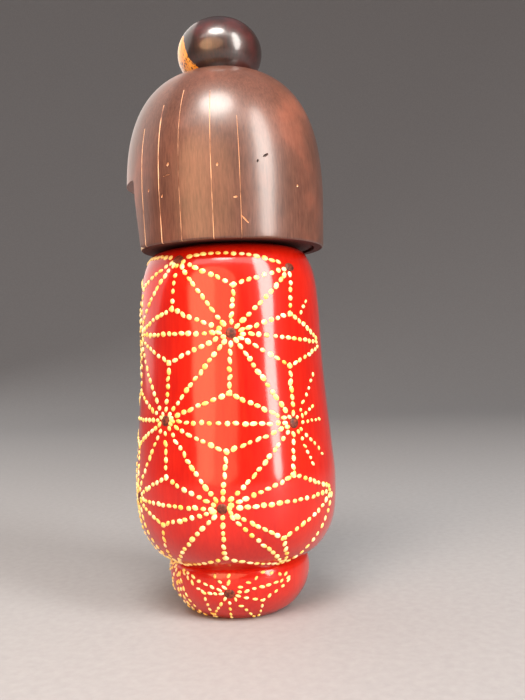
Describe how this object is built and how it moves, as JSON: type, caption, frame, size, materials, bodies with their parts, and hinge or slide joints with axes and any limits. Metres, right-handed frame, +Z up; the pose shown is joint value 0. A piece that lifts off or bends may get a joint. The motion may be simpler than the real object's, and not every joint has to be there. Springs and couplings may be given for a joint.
{
  "type": "kokeshi doll",
  "caption": "Turned wooden kokeshi doll with a waisted body on a small rounded foot, a domed bobbed hair cap with a face window and a topknot bun, and a head that turns",
  "frame": {"origin": "centre of the flat base, on the surface that the doll stands on", "axes": "+Z up along the turning axis, the face toward -Y, +X to the doll's left"},
  "size_m": [0.0742, 0.0742, 0.22],
  "materials": {
    "red_lacquer": "gloss",
    "bare_wood": "matte",
    "face_wood": "satin",
    "brown_stain": "semi-gloss",
    "dark_lacquer": "gloss"
  },
  "bodies": {
    "body": {"body": "red_lacquer"},
    "head": {"neck_peg": "bare_wood", "face_core": "face_wood", "hair_cap": "brown_stain", "bun_peg": "bare_wood", "hair_bun": "dark_lacquer"}
  },
  "joints": [
    {"name": "head_turn", "type": "hinge", "parent": "body", "child": "head", "pos_m": [0, 0, 0.1326], "axis": [0, 0, 1], "continuous": true}
  ]
}
